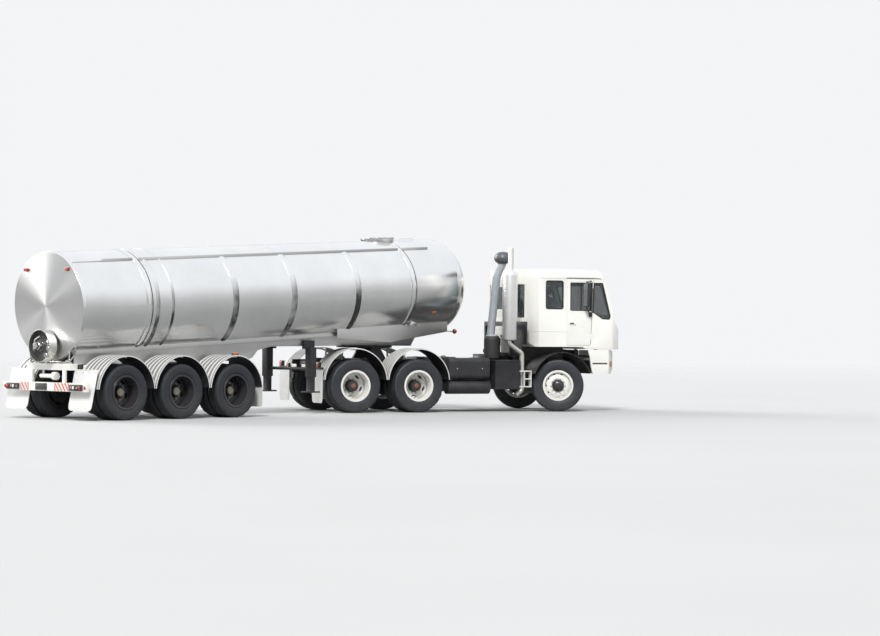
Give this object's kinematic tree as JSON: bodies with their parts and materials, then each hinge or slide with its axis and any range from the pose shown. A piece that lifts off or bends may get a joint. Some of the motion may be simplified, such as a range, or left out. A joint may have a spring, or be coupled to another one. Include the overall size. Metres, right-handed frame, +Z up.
{
  "type": "articulated tanker truck",
  "caption": "Cab-over tractor with a hinged polished tank semi-trailer; it yaws at the kingpin, steers, rolls, tilts its cab and opens its doors and manhole lid.",
  "frame": {"origin": "middle of the outline's box on the ground", "axes": "+X towards the front of the tractor, +Y to its left, +Z up; the trailer lies swung to the left behind it"},
  "size_m": [12.9443, 5.8921, 3.4676],
  "materials": {
    "chassis_black": "satin black paint, dusty",
    "cab_white": "gloss warm white paint",
    "tank_steel": "bright polished stainless steel",
    "bright_metal": "bright metal",
    "guard_white": "white painted sheet",
    "stack_steel": "heat-stained steel",
    "engine_grey": "dark painted iron",
    "tyre_rubber": "worn rubber",
    "black_rubber": "matt rubber",
    "flap_white": "white rubber sheet",
    "black_plastic": "grained plastic",
    "dash_grey": "soft grained plastic",
    "seat_cloth": "woven cloth",
    "window_glass": "lightly tinted",
    "lamp_lens": "moulded lenses"
  },
  "bodies": {
    "tractor": {"chassis_frame": "chassis_black", "front_axle": "chassis_black", "drive_axles": "chassis_black", "engine_block": "engine_grey", "fifth_wheel": "chassis_black", "side_tanks": "chassis_black", "battery_box": "chassis_black", "cab_steps": "cab_white", "exhaust_stack": "stack_steel", "air_intake": "black_rubber", "drive_mudguards_left": "guard_white", "drive_mudguards_right": "guard_white", "front_arches": "black_plastic", "tractor_flaps": "flap_white", "front_bumper": "cab_white", "tractor_lamps": "lamp_lens"},
    "cab": {"cab_shell": "cab_white", "cab_glass": "window_glass", "cab_seats": "seat_cloth", "dashboard": "dash_grey", "front_grille": "black_plastic"},
    "door_left": {"door_panel_left": "cab_white", "door_glass_left": "window_glass", "mirror_left": "black_plastic"},
    "knuckle_left": {"knuckle_left": "chassis_black"},
    "front_wheel_left": {"front_wheel_left": "tyre_rubber"},
    "door_right": {"door_panel_right": "cab_white", "door_glass_right": "window_glass", "mirror_right": "black_plastic"},
    "knuckle_right": {"knuckle_right": "chassis_black"},
    "front_wheel_right": {"front_wheel_right": "tyre_rubber"},
    "drive_wheel_1_left": {"drive_wheel_1_left": "tyre_rubber"},
    "drive_wheel_1_right": {"drive_wheel_1_right": "tyre_rubber"},
    "drive_wheel_2_left": {"drive_wheel_2_left": "tyre_rubber"},
    "drive_wheel_2_right": {"drive_wheel_2_right": "tyre_rubber"},
    "trailer_wheel_1_left": {"trailer_wheel_1_left": "tyre_rubber"},
    "trailer_wheel_1_right": {"trailer_wheel_1_right": "tyre_rubber"},
    "trailer_wheel_2_left": {"trailer_wheel_2_left": "tyre_rubber"},
    "trailer_wheel_2_right": {"trailer_wheel_2_right": "tyre_rubber"},
    "trailer_wheel_3_left": {"trailer_wheel_3_left": "tyre_rubber"},
    "trailer_wheel_3_right": {"trailer_wheel_3_right": "tyre_rubber"},
    "trailer": {"tank_barrel": "tank_steel", "tank_hoops": "tank_steel", "spill_rails": "bright_metal", "manhole_collar": "bright_metal", "trailer_frame": "bright_metal", "coupler_plate": "chassis_black", "landing_legs": "chassis_black", "trailer_axles": "chassis_black", "trailer_mudguards_left": "guard_white", "trailer_mudguards_right": "guard_white", "trailer_flaps": "flap_white", "rear_beam": "cab_white", "valve_hood": "bright_metal", "trailer_lamps": "lamp_lens"},
    "manhole": {"manhole_lid": "bright_metal"}
  },
  "joints": [
    {"name": "trailer_yaw", "type": "hinge", "parent": "tractor", "child": "trailer", "pos_m": [1.423, 1.382, 1.3], "axis": [0, 0, 1], "range_deg": [-103.65, 56.35]},
    {"name": "cab_tilt", "type": "hinge", "parent": "tractor", "child": "cab", "pos_m": [6.25, 1.382, 1.1], "axis": [0, 1, 0], "range_deg": [0, 50]},
    {"name": "steer_left", "type": "hinge", "parent": "tractor", "child": "knuckle_left", "pos_m": [5.15, 2.282, 0.522], "axis": [0, 0, 1], "range_deg": [-18, 58]},
    {"name": "front_spin_left", "type": "hinge", "parent": "knuckle_left", "child": "front_wheel_left", "pos_m": [5.20472, 2.43235, 0.522], "axis": [0.342, 0.9397, 0], "continuous": true},
    {"name": "door_hinge_left", "type": "hinge", "parent": "cab", "child": "door_left", "pos_m": [5.76991, 2.582, 1.7], "axis": [0.043, 0, 0.9991], "range_deg": [-70, 0]},
    {"name": "steer_right", "type": "hinge", "parent": "tractor", "child": "knuckle_right", "pos_m": [5.15, 0.482, 0.522], "axis": [0, 0, 1], "range_deg": [-18, 58]},
    {"name": "front_spin_right", "type": "hinge", "parent": "knuckle_right", "child": "front_wheel_right", "pos_m": [5.09528, 0.33165, 0.522], "axis": [0.342, 0.9397, 0], "continuous": true},
    {"name": "door_hinge_right", "type": "hinge", "parent": "cab", "child": "door_right", "pos_m": [5.76991, 0.182, 1.7], "axis": [0.043, 0, 0.9991], "range_deg": [0, 70]},
    {"name": "drive_spin_1_left", "type": "hinge", "parent": "tractor", "child": "drive_wheel_1_left", "pos_m": [2.01, 2.292, 0.522], "axis": [0, 1, 0], "continuous": true},
    {"name": "drive_spin_1_right", "type": "hinge", "parent": "tractor", "child": "drive_wheel_1_right", "pos_m": [2.01, 0.472, 0.522], "axis": [0, 1, 0], "continuous": true},
    {"name": "drive_spin_2_left", "type": "hinge", "parent": "tractor", "child": "drive_wheel_2_left", "pos_m": [0.683, 2.292, 0.522], "axis": [0, 1, 0], "continuous": true},
    {"name": "drive_spin_2_right", "type": "hinge", "parent": "tractor", "child": "drive_wheel_2_right", "pos_m": [0.683, 0.472, 0.522], "axis": [0, 1, 0], "continuous": true},
    {"name": "trailer_spin_1_left", "type": "hinge", "parent": "trailer", "child": "trailer_wheel_1_left", "pos_m": [-3.20059, 0.35063, 0.49], "axis": [-0.4011, 0.916, 0], "continuous": true},
    {"name": "trailer_spin_1_right", "type": "hinge", "parent": "trailer", "child": "trailer_wheel_1_right", "pos_m": [-2.4705, -1.31651, 0.49], "axis": [-0.4011, 0.916, 0], "continuous": true},
    {"name": "trailer_spin_2_left", "type": "hinge", "parent": "trailer", "child": "trailer_wheel_2_left", "pos_m": [-4.38866, -0.16966, 0.49], "axis": [-0.4011, 0.916, 0], "continuous": true},
    {"name": "trailer_spin_2_right", "type": "hinge", "parent": "trailer", "child": "trailer_wheel_2_right", "pos_m": [-3.65857, -1.8368, 0.49], "axis": [-0.4011, 0.916, 0], "continuous": true},
    {"name": "trailer_spin_3_left", "type": "hinge", "parent": "trailer", "child": "trailer_wheel_3_left", "pos_m": [-5.57673, -0.68995, 0.49], "axis": [-0.4011, 0.916, 0], "continuous": true},
    {"name": "trailer_spin_3_right", "type": "hinge", "parent": "trailer", "child": "trailer_wheel_3_right", "pos_m": [-4.84664, -2.35709, 0.49], "axis": [-0.4011, 0.916, 0], "continuous": true},
    {"name": "lid_hinge", "type": "hinge", "parent": "trailer", "child": "manhole", "pos_m": [1.28716, 1.32251, 3.40242], "axis": [0.4011, -0.916, 0], "range_deg": [0, 100]}
  ],
  "couplings": [
    {"joint": "steer_right", "follows": "steer_left", "ratio": 1}
  ]
}
